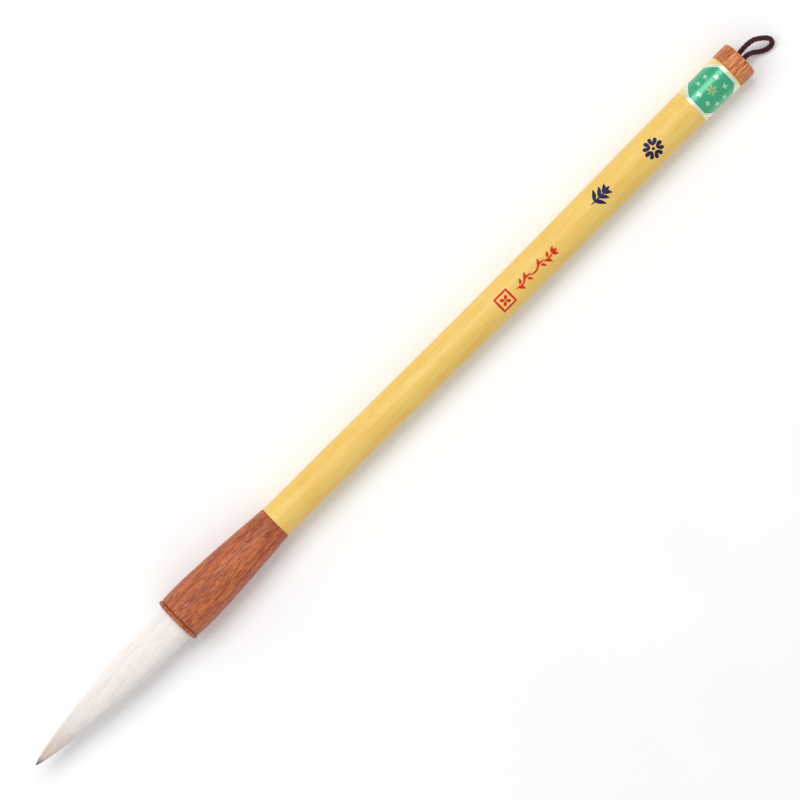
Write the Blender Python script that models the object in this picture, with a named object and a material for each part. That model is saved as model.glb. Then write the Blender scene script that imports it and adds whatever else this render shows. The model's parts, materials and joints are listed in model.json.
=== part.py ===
# A large calligraphy brush: a hair tuft in a turned wooden ferrule, a bamboo shaft, a wooden
# end cap and a cord loop to hang it by. It lies on its side along X with the tuft's tip at -X,
# resting on the ferrule and on the end cap. Metres, +Z up. The origin is the middle of the
# underside of its box, without the cord.

import bpy
import bmesh
from math import atan2, cos, hypot, pi, radians, sin
from mathutils import Matrix, Vector

# Gaps between pieces that touch
CLEARANCE = 0.0003
FOIL_GAP = 0.0001

# Facets round a turned piece: a multiple of 4, so that one faces straight down
SIDES = 32

# Tuft
TUFT_LENGTH = 0.0614  # from the tip to the ferrule's mouth
TUFT_WIDTH = 0.0126  # at the mouth
ROOT_LENGTH = 0.013  # hair inside the ferrule
COAT_START = 0.006  # the coat's lip, from the tip
COAT_SHARE = 0.3  # of the tuft's radius that is coat
TUFT_BEND = 0.012  # the tuft bends about here, ahead of the mouth
# Outline from tip to mouth: share of the length, share of the radius
TUFT_SHAPE = (
    (0, 0.03),
    (0.04, 0.14),
    (0.13, 0.31),
    (0.3, 0.535),
    (0.5, 0.765),
    (0.68, 0.93),
    (0.83, 0.985),
    (1, 1),
)

# Thread round the tuft's root
THREAD_WIDTH = 0.0006
THREAD_TURNS = 5
THREAD_PITCH = 0.0007
THREAD_START = 0.0071  # from the mouth
THREAD_SLACK = 0.0001

# Resin and glue at the bottom of the socket
SEAL_THICKNESS = 0.0012
GLUE_FLOOR = 0.0009
GLUE_WALL = 0.00035
GLUE_CLIMB = 0.0032  # how far the glue reaches up round the root

# Ferrule
FERRULE_LENGTH = 0.0425
FERRULE_WALL = 0.00118  # at its widest, round the socket
FERRULE_LIP = 0.00015  # how far it stands proud of the shaft
MOUTH_CHAMFER = 0.0003
BEAD_WALL = 0.00121
BEAD_LENGTH = 0.0012
BEAD_ROUNDING = 0.0004
GROOVE_LENGTH = 0.0004
GROOVE_DEPTH = 0.0003
# Outline from groove to back: share of the length, share of the way from back to full radius
FERRULE_SHAPE = ((0, 0.93), (0.12, 1), (0.3, 0.9), (0.5, 0.71), (0.75, 0.38), (1, 0))

# Shaft
SHAFT_LENGTH = 0.194
SHAFT_LOW_WIDTH = 0.01095
SHAFT_TOP_WIDTH = 0.01225
SHAFT_BORE = 0.0074
SHAFT_BOW = 0.00055  # sideways, half way along
SHAFT_STATIONS = 12
EDGE = 0.0002  # small chamfer on the shaft, the ferrule's back and the spigots

# Spigots that plug the shaft's bore
FERRULE_SPIGOT = 0.012
CAP_SPIGOT = 0.008

# End cap
CAP_LENGTH = 0.0058
CAP_LIP = 0.00005  # how far it stands proud of the shaft
CAP_FLARE = 0.00005  # how much it widens towards its end
CAP_ROUNDING = 0.0008
COUNTERSINK = 0.0006

# Foil label, in facets of the shaft
LABEL_LENGTH = 0.015
LABEL_TOP = 0.0002  # from the shaft's top edge
LABEL_THICKNESS = 0.0001
LABEL_FACETS = 21
LABEL_TURN = 1  # from the top towards -Y

# Cord
CORD_WIDTH = 0.0017
CORD_TABLE_GAP = 0.0001
# Route of the loop past the end cap, from the middle of the cap's end face
LOOP_ROUTE = (
    (-0.0040, 0.00112, 0.00030),
    (-0.0010, 0.00112, 0.00030),
    (0.0015, 0.00140, 0.00035),
    (0.0042, 0.00150, 0.00025),
    (0.0068, 0.00105, -0.00010),
    (0.0088, -0.00015, -0.00090),
    (0.0103, -0.00140, -0.00210),
    (0.0110, -0.00260, -0.00350),
    (0.0106, -0.00360, -0.00460),
    (0.0093, -0.00390, -0.00515),
    (0.0076, -0.00350, -0.00525),
    (0.0060, -0.00265, -0.00485),
    (0.0045, -0.00165, -0.00390),
    (0.0028, -0.00095, -0.00250),
    (0.0011, -0.00075, -0.00135),
    (-0.0010, -0.00075, -0.00075),
    (-0.0040, -0.00075, -0.00075),
)

# Knot behind the end cap: turns of the cord drawn tight
KNOT_OVERLAP = 0.0006  # how far it covers the rim of the cap's hole
KNOT_TURNS = 3

# Places along the axis, from the tip
MOUTH = TUFT_LENGTH
ROOT_END = MOUTH + ROOT_LENGTH
SEAL_START = ROOT_END + CLEARANCE
GLUE_START = SEAL_START + SEAL_THICKNESS + CLEARANCE
SOCKET_END = GLUE_START + GLUE_FLOOR + CLEARANCE
SHAFT_START = MOUTH + FERRULE_LENGTH + CLEARANCE
SHAFT_END = SHAFT_START + SHAFT_LENGTH
CAP_START = SHAFT_END + CLEARANCE
CAP_END = CAP_START + CAP_LENGTH
CORD_END = SHAFT_END - CAP_SPIGOT
KNOT_START = CORD_END - CLEARANCE - KNOT_TURNS * CORD_WIDTH

# Widths that follow from what they hold
SOCKET_WIDTH = TUFT_WIDTH + 2 * CLEARANCE
FERRULE_WIDTH = SOCKET_WIDTH + 2 * FERRULE_WALL  # at its widest
BEAD_WIDTH = SOCKET_WIDTH + 2 * BEAD_WALL
FERRULE_BACK_WIDTH = SHAFT_LOW_WIDTH + 2 * FERRULE_LIP
WAIST_WIDTH = SOCKET_WIDTH - 2 * (THREAD_WIDTH + 2 * CLEARANCE + THREAD_SLACK)
GLUE_WIDTH = SOCKET_WIDTH - 2 * CLEARANCE
ROOT_WIDTH = GLUE_WIDTH - 2 * (GLUE_WALL + CLEARANCE)
SPIGOT_WIDTH = SHAFT_BORE - 2 * CLEARANCE
CAP_LOW_WIDTH = SHAFT_TOP_WIDTH + 2 * CAP_LIP
CAP_WIDTH = CAP_LOW_WIDTH + 2 * CAP_FLARE
LEG_OFFSET = max(hypot(y, z) for _, y, z in (LOOP_ROUTE[0], LOOP_ROUTE[-1]))
CORD_HOLE = 2 * (LEG_OFFSET + CLEARANCE) + CORD_WIDTH
KNOT_WIDTH = CORD_HOLE + 2 * KNOT_OVERLAP

FACET = 2 * pi / SIDES


def clear_scene():
    for old in list(bpy.data.objects):
        bpy.data.objects.remove(old)


def material(name, colour, roughness, metallic=0.0):
    look = bpy.data.materials.new(name)
    look.use_nodes = True
    shader = look.node_tree.nodes["Principled BSDF"]
    shader.inputs["Base Color"].default_value = (*colour, 1)
    shader.inputs["Roughness"].default_value = roughness
    shader.inputs["Metallic"].default_value = metallic
    return look


def smooth_curve(points, steps):
    """Points on a smooth curve through the given ones, with some steps between each two."""
    points = [Vector(point) for point in points]
    ends = [2 * points[0] - points[1], *points, 2 * points[-1] - points[-2]]
    found = []
    for a, b, c, d in zip(ends, ends[1:], ends[2:], ends[3:]):
        for step in range(steps):
            t = step / steps
            bend = (2 * a - 5 * b + 4 * c - d) * t**2 + (3 * b - a - 3 * c + d) * t**3
            found.append(b + ((c - a) * t + bend) / 2)
    return [*found, points[-1]]


def smooth_outline(points, steps):
    return [(p.x, p.y) for p in smooth_curve([(along, radius, 0) for along, radius in points], steps)]


def corner(x, radius, rounding, steps=4):
    """A rounded outer corner, from an end face at x that looks along +X to the side."""
    angles = [pi / 2 * step / steps for step in range(steps + 1)]
    return [(x - rounding + rounding * cos(a), radius - rounding + rounding * sin(a)) for a in angles]


def empty(name, parent=None, location=(0, 0, 0)):
    frame = bpy.data.objects.new(name, None)
    frame.empty_display_size = 0.01
    frame.parent = parent
    frame.location = location
    bpy.context.collection.objects.link(frame)
    return frame


def add_object(name, data, look, parent, x):
    """Puts a piece on the brush's axis, at x from its parent's origin."""
    piece = bpy.data.objects.new(name, data)
    piece.data.materials.append(look)
    piece.parent = parent
    piece.location.x = x
    bpy.context.collection.objects.link(piece)
    return piece


def spun(outline, first_facet, facets):
    """Spins (along, radius) points about X. The facets' flats are at the true radius."""
    shape = bmesh.new()
    turn = Matrix.Rotation((first_facet + 0.5) * FACET, 3, "X")
    reach = 1 / cos(FACET / 2)
    verts = [shape.verts.new(turn @ Vector((along, 0, radius * reach))) for along, radius in outline]
    edges = [shape.edges.new(pair) for pair in zip(verts, verts[1:])]
    bmesh.ops.spin(
        shape,
        geom=verts + edges,
        cent=(0, 0, 0),
        axis=(1, 0, 0),
        angle=facets * FACET,
        steps=facets,
        use_merge=facets == SIDES,
    )
    bmesh.ops.remove_doubles(shape, verts=shape.verts, dist=0.000001)
    bmesh.ops.recalc_face_normals(shape, faces=shape.faces)
    return shape


def shaded_mesh(name, shape):
    mesh = bpy.data.meshes.new(name)
    shape.to_mesh(mesh)
    shape.free()
    mesh.shade_smooth()
    mesh.set_sharp_from_angle(angle=radians(30))
    return mesh


def turned(name, outline, look, parent, x):
    """A turned piece. Its outline starts and ends on the axis, or comes back to its first point."""
    return add_object(name, shaded_mesh(name, spun(outline, 0, SIDES)), look, parent, x)


def tube(name, route, width, look, parent, x, bevel_resolution):
    """A cord or a thread along its route."""
    curve = bpy.data.curves.new(name, "CURVE")
    curve.dimensions = "3D"
    curve.bevel_depth = width / 2
    curve.bevel_resolution = bevel_resolution
    curve.use_fill_caps = True
    spline = curve.splines.new("POLY")
    spline.points.add(len(route) - 1)
    for point, place in zip(spline.points, route):
        point.co = (*place, 1)
    return add_object(name, curve, look, parent, x)


def tuft_outline(start=0.0):
    """The tuft's outer line, from a place along it to the end of its root."""
    shape = [(along * TUFT_LENGTH, share * TUFT_WIDTH / 2) for along, share in TUFT_SHAPE]
    waist_start = MOUTH + THREAD_START - THREAD_WIDTH
    waist_end = waist_start + THREAD_TURNS * THREAD_PITCH + 2 * THREAD_WIDTH
    root = [(waist_start, WAIST_WIDTH / 2), (waist_end, WAIST_WIDTH / 2), (ROOT_END, ROOT_WIDTH / 2)]
    line = smooth_outline(shape, 3) + root
    before = max(point for point in line if point[0] <= start)
    after = min(point for point in line if point[0] > start)
    slope = (after[1] - before[1]) / (after[0] - before[0])
    first = (start, before[1] + slope * (start - before[0]))
    return [first] + [point for point in line if point[0] > start]


def cover_hair(look, parent):
    """The outer coat of hair, open at both ends."""
    outer = tuft_outline(COAT_START)
    inner = [(along, radius * (1 - COAT_SHARE)) for along, radius in outer]
    return turned("cover_hair", [*outer, *reversed(inner), outer[0]], look, parent, 0)


def core_hair(look, parent):
    """The bare point of the tuft, and behind it the column inside the coat."""
    bare_end = COAT_START - CLEARANCE
    bare = [point for point in tuft_outline() if point[0] < bare_end]
    inside = tuft_outline(bare_end)
    column = [(along, radius * (1 - COAT_SHARE) - CLEARANCE) for along, radius in inside]
    return turned("core_hair", [(0, 0), *bare, inside[0], *column, (ROOT_END, 0)], look, parent, 0)


def root_binding(look, parent):
    """Turns of thread round the waist of the tuft's root."""
    turn_steps = 16
    radius = (WAIST_WIDTH / 2 + CLEARANCE) / cos(pi / turn_steps) + THREAD_WIDTH / 2
    turns = [step / turn_steps for step in range(THREAD_TURNS * turn_steps + 1)]
    route = [(THREAD_PITCH * t, radius * cos(2 * pi * t), radius * sin(2 * pi * t)) for t in turns]
    return tube("root_binding", route, THREAD_WIDTH, look, parent, MOUTH + THREAD_START, 1)


def root_seal(look, parent):
    radius = ROOT_WIDTH / 2
    outline = [(0, 0), (0, radius), (SEAL_THICKNESS, radius), (SEAL_THICKNESS, 0)]
    return turned("root_seal", outline, look, parent, SEAL_START)


def tuft_glue(look, parent):
    """A shallow cup of glue that climbs up round the seal and the root."""
    outer = GLUE_WIDTH / 2
    inner = outer - GLUE_WALL
    rim = [(-GLUE_CLIMB, inner), (-GLUE_CLIMB, outer)]
    cup = [(0, 0), (0, inner), *rim, (GLUE_FLOOR, outer), (GLUE_FLOOR, 0)]
    return turned("tuft_glue", cup, look, parent, GLUE_START)


def ferrule_outline():
    """From the socket's floor out of the mouth, over bead and groove, to the spigot's end."""
    socket = SOCKET_WIDTH / 2
    bead = BEAD_WIDTH / 2
    back = FERRULE_BACK_WIDTH / 2
    spigot = SPIGOT_WIDTH / 2
    body_start = BEAD_LENGTH + GROOVE_LENGTH
    body_length = FERRULE_LENGTH - EDGE - body_start
    rise = FERRULE_WIDTH / 2 - back
    body = [(body_start + along * body_length, back + share * rise) for along, share in FERRULE_SHAPE]
    spigot_end = FERRULE_LENGTH + CLEARANCE + FERRULE_SPIGOT
    return [
        (SOCKET_END - MOUTH, 0),
        (SOCKET_END - MOUTH, socket),
        (MOUTH_CHAMFER, socket),
        (0, socket + MOUTH_CHAMFER),
        *[(-along, radius) for along, radius in corner(0, bead, BEAD_ROUNDING)],
        (BEAD_LENGTH, bead),
        (BEAD_LENGTH + GROOVE_LENGTH / 2, bead - GROOVE_DEPTH),
        *smooth_outline(body, 3),
        (FERRULE_LENGTH, back - EDGE),
        (FERRULE_LENGTH, spigot),
        (spigot_end - EDGE, spigot),
        (spigot_end, spigot - EDGE),
        (spigot_end, 0),
    ]


def ferrule(look, parent):
    return turned("ferrule", ferrule_outline(), look, parent, MOUTH)


def shaft_radius(along):
    return (SHAFT_LOW_WIDTH + (SHAFT_TOP_WIDTH - SHAFT_LOW_WIDTH) * along / SHAFT_LENGTH) / 2


def bow(shape, start=0.0):
    """Moves a shape sideways with the shaft's bow. Both ends of the shaft stay on the axis."""
    for vert in shape.verts:
        vert.co.y -= SHAFT_BOW * sin(pi * (start + vert.co.x) / SHAFT_LENGTH) ** 2


def bamboo_shaft(look, parent):
    """An open tube with its bore right through."""
    inset = SHAFT_LENGTH - 2 * EDGE
    stations = [EDGE + inset * step / SHAFT_STATIONS for step in range(SHAFT_STATIONS + 1)]
    outer = [(along, shaft_radius(along)) for along in stations]
    bore = [(along, SHAFT_BORE / 2) for along in (0, *stations[1:-1], SHAFT_LENGTH)]
    low = (0, shaft_radius(0) - EDGE)
    top = (SHAFT_LENGTH, shaft_radius(SHAFT_LENGTH) - EDGE)
    shape = spun([low, *outer, top, *reversed(bore), low], 0, SIDES)
    bow(shape)
    return add_object("bamboo_shaft", shaded_mesh("bamboo_shaft", shape), look, parent, SHAFT_START)


def foil_label(look, parent):
    """A thin sheet round the top of the shaft, with its open side underneath."""
    start = SHAFT_LENGTH - LABEL_TOP - LABEL_LENGTH
    ends = [(along, shaft_radius(start + along) + FOIL_GAP) for along in (0, LABEL_LENGTH)]
    shape = spun(ends, LABEL_TURN - (LABEL_FACETS + 1) / 2, LABEL_FACETS)
    bow(shape, start)
    label = add_object("foil_label", shaded_mesh("foil_label", shape), look, parent, SHAFT_START + start)
    solid = label.modifiers.new("thickness", "SOLIDIFY")
    solid.thickness = LABEL_THICKNESS
    solid.offset = 1
    return label


def cap_outline():
    """Round the cap's section, from the spigot's end back to it through the cord's hole."""
    hole = CORD_HOLE / 2
    spigot = SPIGOT_WIDTH / 2
    spigot_end = -CLEARANCE - CAP_SPIGOT
    return [
        (spigot_end, hole),
        (spigot_end, spigot - EDGE),
        (spigot_end + EDGE, spigot),
        (0, spigot),
        (0, CAP_LOW_WIDTH / 2),
        *reversed(corner(CAP_LENGTH, CAP_WIDTH / 2, CAP_ROUNDING)),
        (CAP_LENGTH, hole + COUNTERSINK),
        (CAP_LENGTH - COUNTERSINK, hole),
        (spigot_end, hole),
    ]


def end_cap(look, parent):
    return turned("end_cap", cap_outline(), look, parent, CAP_START)


def hanging_loop(look, parent):
    """Both legs of the cord run straight through the cap from the knot, and the loop joins them.
    The loop lies on the table and never sinks into it.
    """
    lowest = (CORD_WIDTH - CAP_WIDTH) / 2 + CORD_TABLE_GAP
    loop = smooth_curve([(x, y, max(z, lowest)) for x, y, z in LOOP_ROUTE], 2)
    legs = []
    for point in (loop[0], loop[-1]):
        knot_end = Vector((CORD_END - CAP_END, point.y, point.z))
        legs.append([knot_end.lerp(point, share) for share in (0, 1 / 3, 2 / 3)])
    route = [*legs[0], *loop, *reversed(legs[1])]
    return tube("hanging_loop", route, CORD_WIDTH, look, parent, 0, 2)


def cord_knot(look, parent):
    """Turns of the cord side by side, wider than the cap's hole."""
    half = CORD_WIDTH / 2
    middle = KNOT_WIDTH / 2 - half
    arc = [pi * step / 6 for step in range(7)]
    turns = [
        (half - half * cos(a) + number * CORD_WIDTH, middle + half * sin(a))
        for number in range(KNOT_TURNS)
        for a in arc[number > 0 :]
    ]
    return turned("cord_knot", [(0, 0), *turns, (KNOT_TURNS * CORD_WIDTH, 0)], look, parent, KNOT_START)


def lay_down(brush):
    """Tilts the brush so that ferrule and end cap both touch the table, and centres its box."""
    front = [(MOUTH + along, radius) for along, radius in ferrule_outline()]
    back = [(CAP_START + along, radius) for along, radius in cap_outline()]
    tilt = min(max(atan2(rf - rb, xb - xf) for xf, rf in front) for xb, rb in back)
    lift = max(x * sin(tilt) + radius * cos(tilt) for x, radius in front + back)
    low = min(x * cos(tilt) - radius * sin(tilt) for x, radius in tuft_outline())
    high = max(x * cos(tilt) + radius * sin(tilt) for x, radius in back)
    brush.rotation_euler.y = tilt
    brush.location = (-(low + high) / 2, 0, lift)


def build():
    clear_scene()
    white_hair = material("white_hair", (0.87, 0.81, 0.77), 0.55)
    core_white = material("core_white", (0.80, 0.72, 0.66), 0.55)
    linen = material("linen", (0.60, 0.55, 0.45), 0.8)
    resin = material("resin", (0.12, 0.05, 0.02), 0.3)
    glue = material("glue", (0.50, 0.35, 0.12), 0.3)
    ferrule_wood = material("ferrule_wood", (0.45, 0.13, 0.06), 0.5)
    bamboo = material("bamboo", (0.87, 0.60, 0.17), 0.45)
    foil = material("foil", (0.05, 0.35, 0.16), 0.3, 0.6)
    cap_wood = material("cap_wood", (0.61, 0.25, 0.10), 0.5)
    cord = material("cord", (0.045, 0.010, 0.013), 0.7)
    knot = material("knot", (0.045, 0.010, 0.013), 0.7)

    brush = empty("brush_axis")
    tuft = empty("tuft_hinge", brush, (MOUTH - TUFT_BEND, 0, 0))
    tip = empty("tuft_tip", tuft, (TUFT_BEND - MOUTH, 0, 0))
    loop = empty("loop_hinge", brush, (CAP_END, 0, 0))

    cover_hair(white_hair, tip)
    core_hair(core_white, tip)
    root_binding(linen, brush)
    root_seal(resin, brush)
    tuft_glue(glue, brush)
    ferrule(ferrule_wood, brush)
    bamboo_shaft(bamboo, brush)
    foil_label(foil, brush)
    end_cap(cap_wood, brush)
    hanging_loop(cord, loop)
    cord_knot(knot, brush)
    lay_down(brush)


build()
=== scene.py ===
import bmesh
import bpy
import json
import random
from math import atan2, ceil, cos, hypot, pi, radians, sin
from mathutils import Matrix, Vector, noise


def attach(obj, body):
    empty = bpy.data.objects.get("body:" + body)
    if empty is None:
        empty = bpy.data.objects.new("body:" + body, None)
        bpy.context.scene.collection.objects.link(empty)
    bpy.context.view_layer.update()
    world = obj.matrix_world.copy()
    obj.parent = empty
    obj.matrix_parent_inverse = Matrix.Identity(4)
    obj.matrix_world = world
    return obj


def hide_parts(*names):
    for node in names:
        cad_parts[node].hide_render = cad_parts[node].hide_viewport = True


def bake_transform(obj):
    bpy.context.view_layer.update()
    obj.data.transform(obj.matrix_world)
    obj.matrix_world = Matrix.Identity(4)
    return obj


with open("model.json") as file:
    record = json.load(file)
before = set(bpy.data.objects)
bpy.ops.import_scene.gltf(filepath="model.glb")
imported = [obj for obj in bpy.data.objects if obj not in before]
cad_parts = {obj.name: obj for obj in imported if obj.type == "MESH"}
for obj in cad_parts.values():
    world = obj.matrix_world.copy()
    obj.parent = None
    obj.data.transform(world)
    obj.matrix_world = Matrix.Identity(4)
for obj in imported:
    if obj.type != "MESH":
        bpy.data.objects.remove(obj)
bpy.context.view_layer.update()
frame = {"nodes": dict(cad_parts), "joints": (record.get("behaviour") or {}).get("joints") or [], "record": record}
random.seed(11)

# The brush's own axes: x runs from the hair's tip to the end cap, y and z are square to it
axis = Vector(frame["record"]["mounts"][0]["axis"]).normalized()
capFace = Vector(next(joint["pos_m"] for joint in frame["joints"] if joint["name"] == "loop_lift"))
cadSides = 32  # flats round a turned CAD piece
cadFlats = cos(pi / cadSides)  # from a corner's radius to the radius at the middle of a flat


def alongAxis(node):
    return [(vert.co - capFace).dot(axis) for vert in frame["nodes"][node].data.vertices]


tip = capFace + axis * min(alongAxis("core_hair"))
brushAxes = Matrix((axis, Vector((0, 1, 0)), axis.cross(Vector((0, 1, 0))))).transposed()
brush = Matrix.Translation(tip) @ brushAxes.to_4x4()
toBrush = brush.inverted()


def span(node):
    places = [(toBrush @ vert.co).x for vert in frame["nodes"][node].data.vertices]
    return min(places), max(places)


def radiusNear(node, place, reach=0.0004):
    found = [toBrush @ vert.co for vert in frame["nodes"][node].data.vertices]
    return max(hypot(co.y, co.z) for co in found if abs(co.x - place) < reach) * cadFlats


joinGap = 0.0003  # the gap between two pieces of the CAD model
hairline = 0.00006  # what stays open of it where bamboo meets wood
mouth = span("ferrule")[0]
shaftStart, shaftEnd = span("bamboo_shaft")
ferruleEnd = shaftStart - joinGap
capStart, capEnd = shaftEnd + joinGap, span("end_cap")[1]


# Tools for shapes

def smoothCurve(points, steps):
    points = [Vector(point) for point in points]
    ends = [2 * points[0] - points[1], *points, 2 * points[-1] - points[-2]]
    found = []
    for a, b, c, d in zip(ends, ends[1:], ends[2:], ends[3:]):
        for step in range(steps):
            t = step / steps
            bend = (2 * a - 5 * b + 4 * c - d) * t**2 + (3 * b - a - 3 * c + d) * t**3
            found.append(b + ((c - a) * t + bend) / 2)
    return [*found, points[-1]]


def smoothLine(points, steps):
    return [(p.x, p.y) for p in smoothCurve([(x, y, 0) for x, y in points], steps)]


def readLine(line, x):
    for (x0, y0), (x1, y1) in zip(line, line[1:]):
        if x <= x1:
            return y0 + (y1 - y0) * (x - x0) / (x1 - x0)
    return line[-1][1]


def evenly(points, step):
    # the same path again with points a step apart
    lengths = [0]
    for a, b in zip(points, points[1:]):
        lengths.append(lengths[-1] + (b - a).length)
    count = ceil(lengths[-1] / step)
    found, at = [], 0
    for number in range(count + 1):
        want = lengths[-1] * number / count
        while at < len(points) - 2 and lengths[at + 1] < want:
            at += 1
        share = (want - lengths[at]) / (lengths[at + 1] - lengths[at])
        found.append(points[at].lerp(points[at + 1], share))
    return found, lengths[-1]


def rounding(x, radius, size, fromSide, steps=6):
    # a rounded corner of a turned outline, at its end face towards fromSide (-1 is the tip's side)
    turns = [pi / 2 * step / steps for step in range(steps + 1)]
    corner = [(x - fromSide * size * (1 - cos(a)), radius - size * (1 - sin(a))) for a in turns]
    return corner if fromSide < 0 else corner[::-1]


def turn(outline, steps):
    # turns an outline of (place along the brush, radius) about the brush's length
    shape = bmesh.new()
    verts = [shape.verts.new((along, 0, radius)) for along, radius in outline]
    for pair in zip(verts, verts[1:]):
        shape.edges.new(pair)
    bmesh.ops.spin(shape, geom=shape.verts[:] + shape.edges[:], cent=(0, 0, 0), axis=(1, 0, 0),
                   angle=2 * pi, steps=steps, use_merge=True)
    bmesh.ops.remove_doubles(shape, verts=shape.verts, dist=1e-6)
    bmesh.ops.recalc_face_normals(shape, faces=shape.faces)
    return shape


def meshOf(name, shape):
    mesh = bpy.data.meshes.new(name)
    shape.to_mesh(mesh)
    shape.free()
    return mesh


def tubes(name, lines, width, sides):
    # round strands along lines of (point, thickness share)
    curve = bpy.data.curves.new(name, "CURVE")
    curve.dimensions = "3D"
    curve.bevel_depth = width / 2
    curve.bevel_resolution = sides // 2 - 2
    curve.use_fill_caps = True
    for line in lines:
        spline = curve.splines.new("POLY")
        spline.points.add(len(line) - 1)
        for point, (place, thickness) in zip(spline.points, line):
            point.co = (*place, 1)
            point.radius = thickness
    holder = bpy.data.objects.new(name, curve)
    bpy.context.scene.collection.objects.link(holder)
    ready = bpy.context.evaluated_depsgraph_get()
    mesh = bpy.data.meshes.new_from_object(holder.evaluated_get(ready))
    bpy.data.objects.remove(holder)
    bpy.data.curves.remove(curve)
    mesh.name = name
    return mesh


def finish(mesh, look, sharp=35):
    # keeps where each point lies in the brush's own axes, then lays the mesh in its place under its own name
    rest = mesh.attributes.new("rest", "FLOAT_VECTOR", "POINT")
    rest.data.foreach_set("vector", [value for vert in mesh.vertices for value in vert.co])
    mesh.transform(brush)
    mesh.materials.clear()
    mesh.materials.append(look)
    mesh.shade_smooth()
    mesh.set_sharp_from_angle(angle=radians(sharp))
    piece = bpy.data.objects.new(mesh.name, mesh)
    bpy.context.scene.collection.objects.link(piece)
    return piece


# Tools for materials

def plug(tree, node, values):
    # links each of the node's sockets, or sets it
    for socket, value in values.items():
        if isinstance(value, bpy.types.NodeSocket):
            tree.links.new(value, node.inputs[socket])
        else:
            node.inputs[socket].default_value = value


def add(tree, kind, values={}, **settings):
    made = tree.nodes.new("ShaderNode" + kind)
    for name, value in settings.items():
        setattr(made, name, value)
    plug(tree, made, values)
    return made


def maths(tree, operation, a, b=0.0, c=0.0):
    return add(tree, "Math", {0: a, 1: b, 2: c}, operation=operation).outputs[0]


def times(tree, a, b):
    return maths(tree, "MULTIPLY", a, b)


def minus(tree, a, b):
    return maths(tree, "SUBTRACT", a, b)


def weighted(tree, *parts):
    # the sum of some values, each times its share
    total = 0.0
    for value, share in parts:
        total = maths(tree, "MULTIPLY_ADD", value, share, total)
    return total


def scaled(tree, vector, scale):
    return add(tree, "VectorMath", {0: vector, 1: scale}, operation="MULTIPLY").outputs[0]


def noiseOf(tree, vector, scale, detail=2.0, roughness=0.5, distortion=0.0):
    values = {"Vector": vector, "Scale": scale, "Detail": detail, "Roughness": roughness,
              "Distortion": distortion}
    return add(tree, "TexNoise", values).outputs["Fac"]


def between(tree, value, low, high, newLow=0.0, newHigh=1.0):
    values = {"Value": value, "From Min": low, "From Max": high, "To Min": newLow, "To Max": newHigh}
    return add(tree, "MapRange", values).outputs["Result"]


def mix(tree, share, a, b):
    a, b = (colour if isinstance(colour, bpy.types.NodeSocket) else (*colour, 1) for colour in (a, b))
    return add(tree, "Mix", {"Factor": share, 6: a, 7: b}, data_type="RGBA").outputs[2]


def ramp(tree, value, stops, interpolation="LINEAR"):
    node = add(tree, "ValToRGB", {"Fac": value})
    node.color_ramp.interpolation = interpolation
    while len(node.color_ramp.elements) < len(stops):
        node.color_ramp.elements.new(1)
    for element, (place, colour) in zip(node.color_ramp.elements, stops):
        element.position = place
        element.color = (*colour, 1)
    return node.outputs["Color"]


def bump(tree, height, depth):
    values = {"Height": height, "Distance": depth, "Strength": 1.0}
    return add(tree, "Bump", values).outputs["Normal"]


def newMaterial(name, **constants):
    look = bpy.data.materials.new(name)
    look.use_nodes = True
    shader = look.node_tree.nodes["Principled BSDF"]
    for socket, value in constants.items():
        shader.inputs[socket.replace("_", " ")].default_value = value
    return look, look.node_tree, shader


def newGroup(name, inputs, outputs):
    tree = bpy.data.node_groups.new(name, "ShaderNodeTree")
    for socket, kind, value in inputs:
        made = tree.interface.new_socket(socket, in_out="INPUT", socket_type="NodeSocket" + kind)
        if value is not None:
            made.default_value = value
    for socket, kind in outputs:
        tree.interface.new_socket(socket, in_out="OUTPUT", socket_type="NodeSocket" + kind)
    given = tree.nodes.new("NodeGroupInput").outputs
    result = tree.nodes.new("NodeGroupOutput").inputs
    return tree, given, result


def useGroup(tree, group, values):
    return add(tree, "Group", values, node_tree=group).outputs


def millimetres(tree):
    # where a point is on the object, in millimetres
    place = add(tree, "TexCoord").outputs["Object"]
    return scaled(tree, place, (1000, 1000, 1000))


def restMillimetres(tree):
    # where a point is on the straight brush, in the brush's own axes
    place = add(tree, "Attribute", attribute_name="rest").outputs["Vector"]
    return scaled(tree, place, (1000, 1000, 1000))


def fibreGroup():
    # fine lines along x, as in bamboo, hair and wood
    tree, given, result = newGroup(
        "lengthwiseFibres",
        [("Vector", "Vector", None), ("Stretch", "Float", 0.03), ("Lines per mm", "Float", 3.0),
         ("Detail", "Float", 3.0)],
        [("Lines", "Float")],
    )
    stretch = add(tree, "CombineXYZ", {0: given["Stretch"], 1: 1.0, 2: 1.0}).outputs[0]
    placed = scaled(tree, given["Vector"], stretch)
    lines = noiseOf(tree, placed, given["Lines per mm"], given["Detail"], 0.6)
    tree.links.new(between(tree, lines, 0.3, 0.7), result["Lines"])
    return tree


def fibresOf(tree, vector, stretch, perMillimetre, detail=3.0):
    values = {"Vector": vector, "Stretch": stretch, "Lines per mm": perMillimetre, "Detail": detail}
    return useGroup(tree, fibreLines, values)["Lines"]


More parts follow.
